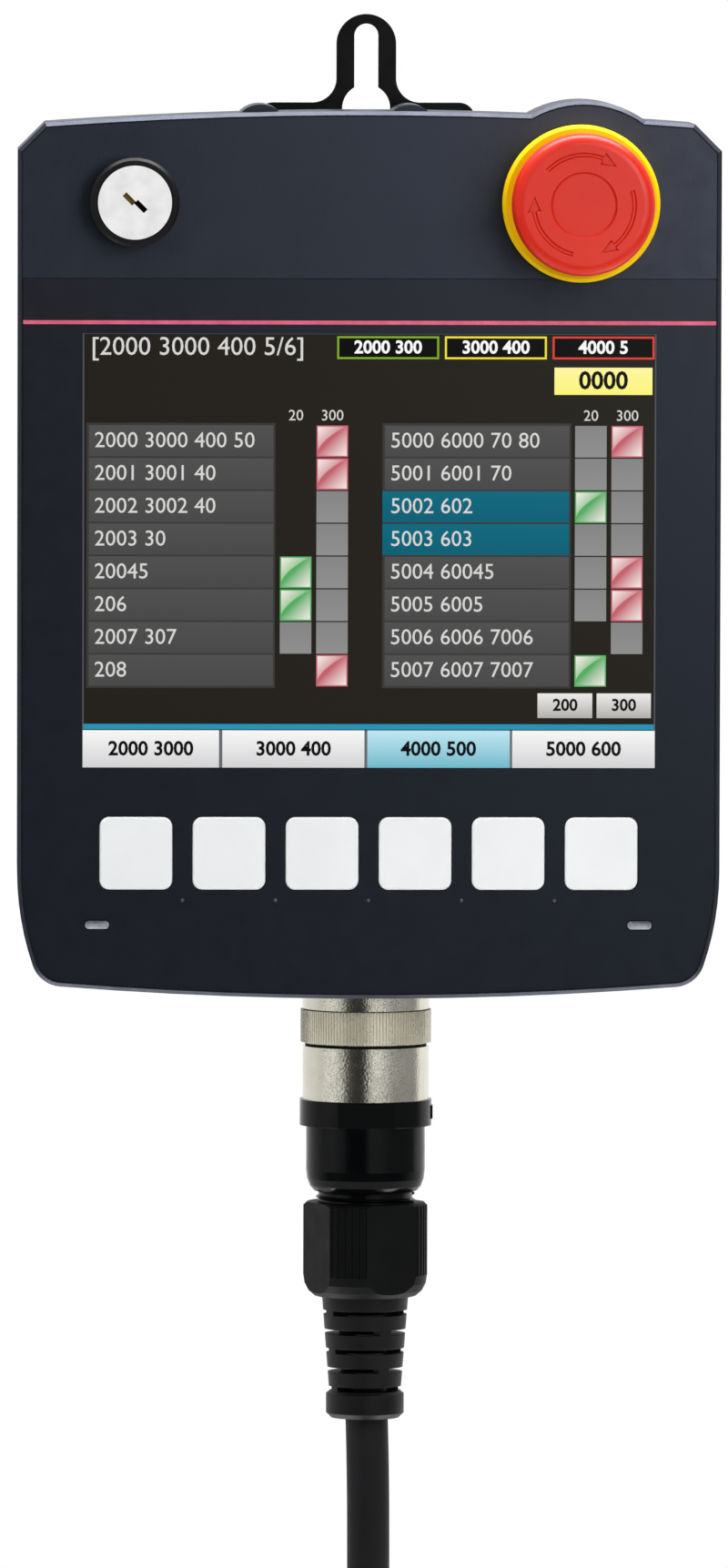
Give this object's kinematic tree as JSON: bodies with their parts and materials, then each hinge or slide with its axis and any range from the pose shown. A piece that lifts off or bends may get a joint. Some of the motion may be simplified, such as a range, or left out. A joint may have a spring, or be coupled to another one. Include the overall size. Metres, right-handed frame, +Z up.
{
  "type": "handheld operator touch panel",
  "caption": "Handheld control panel with touch screen, function keys, emergency stop, key switch, rear enabling grip, hanger and a bottom connector with cable",
  "frame": {"origin": "axis of the round seat at the top of the hanger's slot, at the back plane of the case", "axes": "+Z up as it hangs, -Y out of the screen towards the user, +X the user's right"},
  "size_m": [0.1458, 0.0851, 0.5285],
  "materials": {
    "case_plastic": "fine matte texture",
    "seal_rubber": "soft matte",
    "sheet_print": "satin printed film",
    "touch_glass": "clear hard coat",
    "screen": "screen face",
    "sheet_steel": "plain",
    "screw_steel": "zinc plated",
    "board": "solder mask",
    "chip": "moulded",
    "key_white": "satin",
    "lamp_window": "milky",
    "stop_yellow": "satin",
    "stop_red": "satin",
    "black_plastic": "plain",
    "lock_face": "satin",
    "lock_brass": "plain",
    "hanger_black": "semi-matt black",
    "strap_fabric": "woven",
    "battery_wrap": "shrink wrap",
    "nickel": "satin nickel",
    "boot_rubber": "moulded",
    "cable_jacket": "smooth",
    "tie_fabric": "hook and loop"
  },
  "bodies": {
    "housing": {"front_case": "case_plastic", "rear_case": "case_plastic", "rear_grip": "case_plastic", "case_gasket": "seal_rubber", "front_sheet": "sheet_print", "touch_panel": "touch_glass", "screen_module": "screen", "display_bracket": "sheet_steel", "board_spacers": "screw_steel", "case_screws": "screw_steel", "small_screws": "screw_steel", "rear_screws": "screw_steel", "grip_pin": "screw_steel", "main_board": "board", "key_board": "board", "board_chips": "chip", "key_contacts": "chip", "lamp_chips": "chip", "power_lamp_window": "lamp_window", "grip_lamp_window": "lamp_window", "estop_bezel": "stop_yellow", "estop_nut": "black_plastic", "estop_contact_block": "black_plastic", "key_switch_bezel": "black_plastic", "key_switch_nut": "black_plastic", "key_switch_block": "black_plastic", "grip_switch": "black_plastic", "battery_cover": "black_plastic", "strap_clamp_upper": "black_plastic", "strap_clamp_lower": "black_plastic", "clamp_ring": "black_plastic", "plug_insert": "black_plastic", "backshell": "black_plastic", "gland_nut": "black_plastic", "far_plug_hood": "black_plastic", "hanger_plate": "hanger_black", "hand_strap": "strap_fabric", "backup_battery": "battery_wrap", "receptacle": "nickel", "receptacle_collar": "nickel", "plug_sleeve": "nickel", "far_plug_nose": "nickel", "cable_boot": "boot_rubber", "cable": "cable_jacket", "cable_coil": "cable_jacket", "cable_tail": "cable_jacket", "coil_tie": "tie_fabric"},
    "estop_plunger": {"estop_stem": "black_plastic"},
    "estop_button": {"estop_head": "stop_red"},
    "key_lock": {"key_rotor": "lock_face", "key_wafer": "lock_brass"},
    "function_key_1": {"key_1": "key_white"},
    "function_key_2": {"key_2": "key_white"},
    "function_key_3": {"key_3": "key_white"},
    "function_key_4": {"key_4": "key_white"},
    "function_key_5": {"key_5": "key_white"},
    "function_key_6": {"key_6": "key_white"},
    "enable_lever": {"grip_lever": "black_plastic"},
    "enable_plunger": {"grip_plunger": "black_plastic"},
    "coupling": {"coupling_ring": "nickel"}
  },
  "joints": [
    {"name": "estop_push", "type": "slide", "parent": "housing", "child": "estop_plunger", "axis": [0, 1, 0], "range_m": [0, 0.004], "stiffness_N_per_m": 2500},
    {"name": "estop_twist", "type": "hinge", "parent": "estop_plunger", "child": "estop_button", "pos_m": [0.0434, -0.036, -0.03405], "axis": [0, 1, 0], "range_deg": [0, 45], "stiffness_Nm_per_rad": 0.2},
    {"name": "key_turn", "type": "hinge", "parent": "housing", "child": "key_lock", "pos_m": [-0.04845, -0.036, -0.03395], "axis": [0, 1, 0], "range_deg": [0, 90]},
    {"name": "key_1_press", "type": "slide", "parent": "housing", "child": "function_key_1", "axis": [0, 1, 0], "range_m": [0, 0.0008], "stiffness_N_per_m": 3000},
    {"name": "key_2_press", "type": "slide", "parent": "housing", "child": "function_key_2", "axis": [0, 1, 0], "range_m": [0, 0.0008], "stiffness_N_per_m": 3000},
    {"name": "key_3_press", "type": "slide", "parent": "housing", "child": "function_key_3", "axis": [0, 1, 0], "range_m": [0, 0.0008], "stiffness_N_per_m": 3000},
    {"name": "key_4_press", "type": "slide", "parent": "housing", "child": "function_key_4", "axis": [0, 1, 0], "range_m": [0, 0.0008], "stiffness_N_per_m": 3000},
    {"name": "key_5_press", "type": "slide", "parent": "housing", "child": "function_key_5", "axis": [0, 1, 0], "range_m": [0, 0.0008], "stiffness_N_per_m": 3000},
    {"name": "key_6_press", "type": "slide", "parent": "housing", "child": "function_key_6", "axis": [0, 1, 0], "range_m": [0, 0.0008], "stiffness_N_per_m": 3000},
    {"name": "grip_press", "type": "hinge", "parent": "housing", "child": "enable_lever", "pos_m": [0.013, 0.0135, -0.0845], "axis": [-1, 0, 0], "range_deg": [0, 6], "stiffness_Nm_per_rad": 6},
    {"name": "plunger_press", "type": "slide", "parent": "housing", "child": "enable_plunger", "axis": [0, -1, 0], "range_m": [0, 0.0053]},
    {"name": "coupling_turn", "type": "hinge", "parent": "housing", "child": "coupling", "pos_m": [0, -0.0155, -0.205], "axis": [0, 0, 1], "range_deg": [0, 60]}
  ],
  "couplings": [
    {"joint": "plunger_press", "follows": "grip_press", "m_per_rad": 0.05}
  ]
}
